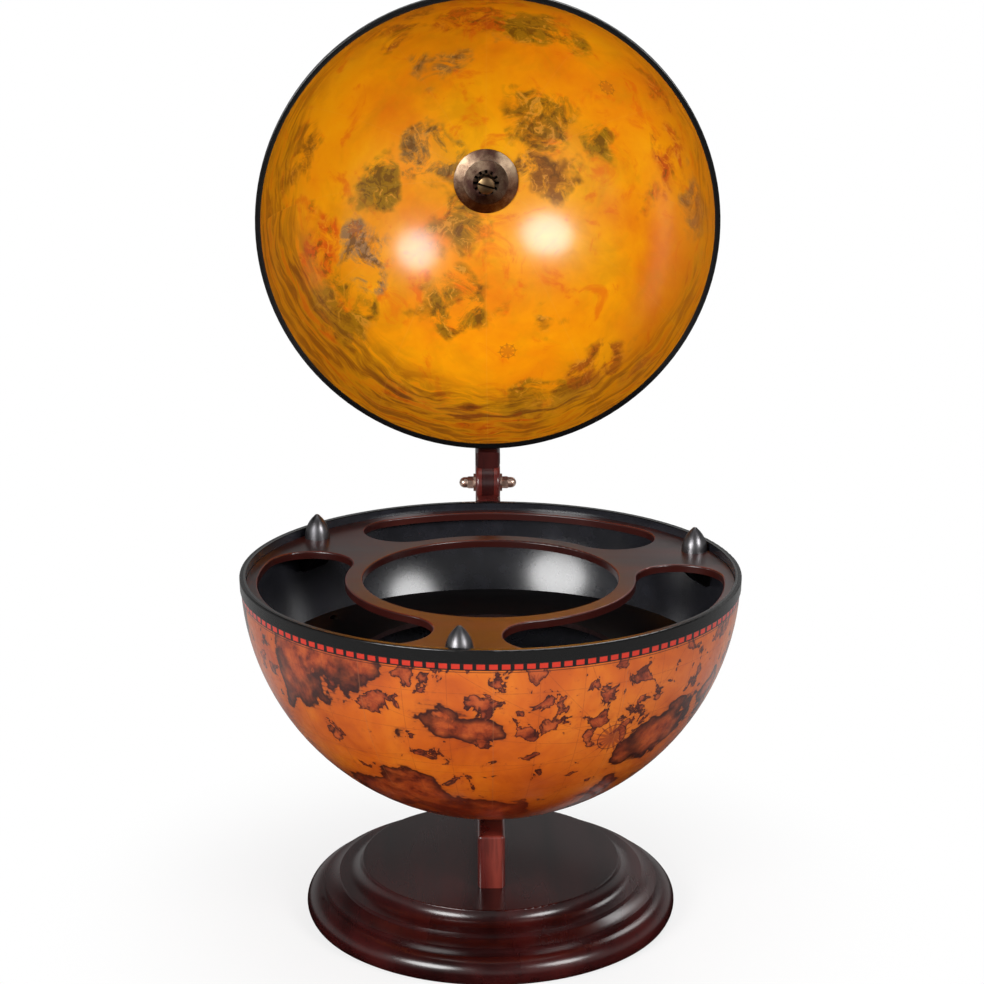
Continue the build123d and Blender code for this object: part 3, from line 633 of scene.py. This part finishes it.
    def finish(self, outside, inside, inside_roughness, inside_coat):
        """Outside and inside by the distance from the centre, and the black rim between them."""
        out = self.vector("LENGTH", self.spot)
        is_outside = self.remap(out, SHELL_MIDDLE_R - 0.0001, SHELL_MIDDLE_R + 0.0001)
        is_inside = self.maths("SUBTRACT", 1.0, is_outside)
        rim = self.remap(self.height, RIM_FROM, RIM_TO)
        grime = self.remap(self.noise(self.unit, 40, 4, 0.6), 0.3, 0.7, 0.28, 0.42)
        self.set(Base_Color=self.mix(rim, self.mix(is_outside, inside, outside), RIM_BLACK),
                 Roughness=self.maths("ADD", self.times(is_outside, grime),
                                      self.times(is_inside, inside_roughness)),
                 Coat_Weight=self.remap(is_outside, 0.0, 1.0, inside_coat, PRINT_COAT))
        self.bump(self.remap(self.gore_across, 0.004, 0.0, smooth=True), *SEAM_BUMP)
        return self.material


def bowl_print():
    globe = Globe("bowl_map", BOWL_CENTRE, 0.0, BOWL_SEED)
    return globe.finish(globe.outside(BOWL_ROSES), globe.lacquer(), LACQUER_ROUGHNESS, LACQUER_COAT)


def dome_print():
    tilt = radians(90) - DOME_AXIS.angle(Vector((0, 1, 0)))
    globe = Globe("dome_map", DOME_CENTRE, tilt, DOME_SEED)
    return globe.finish(globe.outside(DOME_ROSES), globe.sky(DOME_STARS), SKY_ROUGHNESS, PRINT_COAT)


# ---- Finishes of the CAD nodes -----------------------------------------------------------------

def slot_finishes():
    """One material for each of the record's slots."""
    return {
        "mahogany": wood("mahogany", MAHOGANY, ALONG_Y, 0.26, 0.6, shine=0.4),
        "tray_mahogany": wood("tray_mahogany", TRAY_MAHOGANY, ALONG_X, 0.31, 0.4, shine=0.45,
                              edges=TRAY_EDGES_AND_HIGHLIGHTS),
        "shelf_wood": wood("shelf_wood", SHELF_BLACK, ALONG_X, 0.34, shine=0.2, edges=SHELF_EDGE_HIGHLIGHTS),
        "block_wood": wood("block_wood", BLOCK_BLACK, ALONG_Z, 0.55, shine=0.1),
        "bowl_map": bowl_print(),
        "dome_map": dome_print(),
        "rim_band": plastic("rim_band", linear(11, 10, 10), 0.20),
        "gunmetal": metal("gunmetal", linear(124, 122, 124), linear(92, 91, 94), 0.34),
        "bronze": metal("bronze", *BRONZE, BRONZE_ROUGHNESS),
        "brass": metal("brass", linear(244, 212, 192), linear(196, 150, 130), 0.36),
        "steel": metal("steel", linear(170, 168, 164), linear(130, 128, 124), 0.28),
        "blued_steel": metal("blued_steel", linear(40, 34, 30), linear(24, 20, 18), 0.35),
        "nylon": plastic("nylon", linear(205, 202, 194), 0.5),
        "felt": plastic("felt", linear(16, 34, 24), 0.95, shine=0.1, speck=900),
    }


def node_finishes():
    """Materials of the nodes that differ from the others of their slot."""
    return {
        # painted light: the lower arm in a lighter, lit copy of the upper arm's mahogany
        "lower_arm": wood("arm_mahogany", LIT_LOWER_ARM_MAHOGANY, ALONG_Z, 0.28, 0.6),
        "upper_arm": wood("upper_arm_mahogany", UPPER_ARM_MAHOGANY, ALONG_Z, 0.28, 0.5),
        "dome_axle_bolt": pole_bolt("dome_bolt_bronze", DOME_CENTRE, -DOME_AXIS),
        "bowl_axle_bolt": pole_bolt("bowl_bolt_bronze", BOWL_CENTRE, BOWL_AXIS),
        "dome_boss": turned_bronze("dome_boss_bronze", DOME_CENTRE, DOME_AXIS),
        "bowl_boss": turned_bronze("bowl_boss_bronze", BOWL_CENTRE, BOWL_AXIS),
    }


def finish_nodes():
    by_slot, by_node = slot_finishes(), node_finishes()
    for part in frame["record"]["subparts"]:
        materials = nodes[part["node"]].data.materials
        materials.clear()
        materials.append(by_node.get(part["node"]) or by_slot[part["material_slot"]])


# ---- World and floor ---------------------------------------------------------------------------

def set_world():
    """White to the camera, dimmer as a light, and in a reflection dark overhead."""
    world = bpy.data.worlds.new("studio")
    bpy.context.scene.world = world
    world.use_nodes = True
    around = Nodes(world.node_tree)
    camera_ray, shiny_ray = around.rays()
    up = around.split(around.coordinates("Generated"))[2]
    shine = around.remap(up, *WORLD_SHINE_UP, WORLD_SHINE_LOW, WORLD_SHINE_HIGH, smooth=True)
    light = around.remap(shiny_ray, 0.0, 1.0, WORLD_LIGHT, shine)
    background = world.node_tree.nodes["Background"]
    around.plug(background.inputs["Color"], WHITE)
    around.plug(background.inputs["Strength"], around.remap(camera_ray, 0.0, 1.0, light, 1.0))


def floor_white():
    """White to the camera but for a faint shadow; in a reflection as bright as FLOOR_SHINE says."""
    shader = Shader("floor", Base_Color=FLOOR_COLOUR, Roughness=0.8, Specular_IOR_Level=0.0)
    camera_ray, shiny_ray = shader.rays()
    away = shader.vector("LENGTH", shader.place())
    clear = shader.remap(away, *SHADOW_FADES, 1 - FLOOR_SHADE, 1, smooth=True)
    white = shader.maths("MAXIMUM", shader.times(camera_ray, clear), shiny_ray)
    shine = shader.times(*[shader.remap(away, *step, smooth=True) for step in FLOOR_SHINE])
    glow = shader.node("ShaderNodeEmission", [WHITE, shader.remap(shiny_ray, 0.0, 1.0, 1.0, shine)])
    mixed = shader.node("ShaderNodeMixShader", [white, shader.surface.outputs[0], glow.outputs[0]])
    shader.plug(shader.tree.nodes["Material Output"].inputs[0], mixed.outputs[0])
    return shader.material


def add_floor():
    bpy.ops.mesh.primitive_plane_add(size=FLOOR_SIDE, location=(0, 0, 0))
    floor = bpy.context.object
    floor.name = "floor"
    floor.data.materials.append(floor_white())


add_camera()
set_world()
add_floor()
add_lights()
bpy.context.scene.view_settings.view_transform = "Standard"
finish_nodes()
